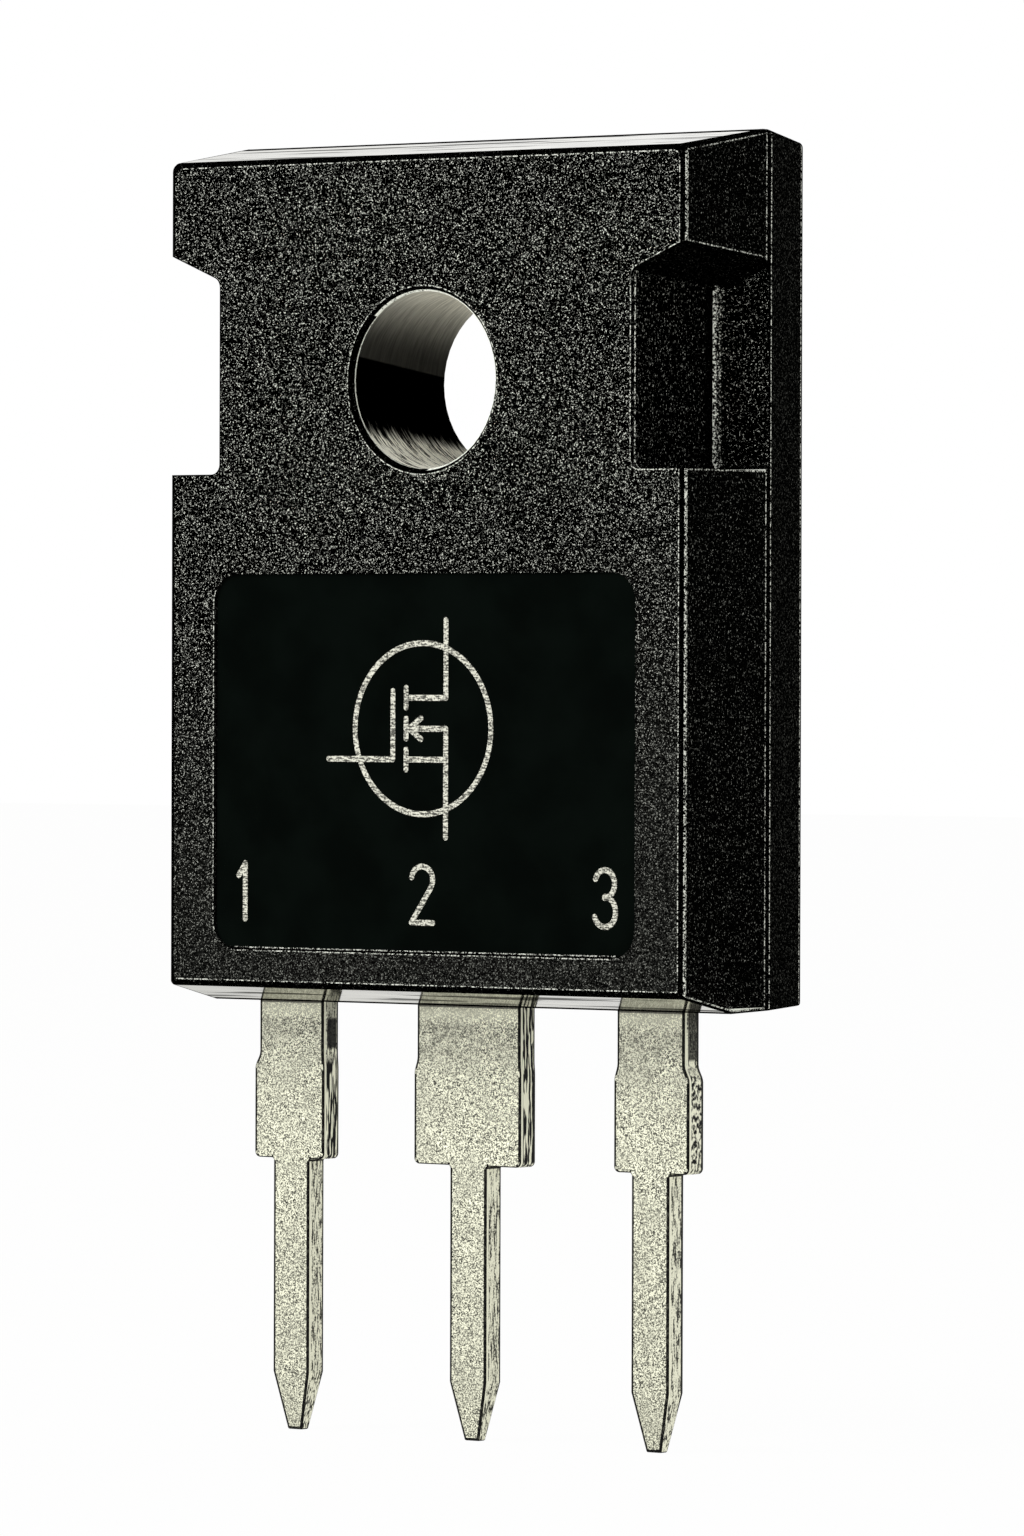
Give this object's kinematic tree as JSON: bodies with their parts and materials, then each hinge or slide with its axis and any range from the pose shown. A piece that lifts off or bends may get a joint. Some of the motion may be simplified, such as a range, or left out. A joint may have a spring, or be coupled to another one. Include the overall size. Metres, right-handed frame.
{
  "type": "power transistor",
  "caption": "Power transistor: drafted black moulding with a screw hole and side notches over a metal tab, with flat tinned leads that end in chisel tips.",
  "frame": {"origin": "point where the screw hole's axis crosses the plane of the bare tab, which seats on a heat sink", "axes": "+Z out of the marked face, +Y towards the screw hole end, so the leads run towards -Y, and +X to the right with the marked face in view and the leads down"},
  "size_m": [0.0158, 0.0315, 0.005],
  "materials": {
    "moulding_compound": "matte",
    "tinned_copper": "matte",
    "silicon": "satin",
    "solder": "matte",
    "aluminium_wire": "satin"
  },
  "bodies": {
    "root": {"moulded_body": "moulding_compound", "drain_leadframe": "tinned_copper", "gate_lead": "tinned_copper", "source_lead": "tinned_copper", "silicon_die": "silicon", "die_attach_solder": "solder", "gate_bond_wire": "aluminium_wire", "source_bond_wire_1": "aluminium_wire", "source_bond_wire_2": "aluminium_wire", "source_bond_wire_3": "aluminium_wire", "source_bond_wire_4": "aluminium_wire"}
  },
  "joints": []
}
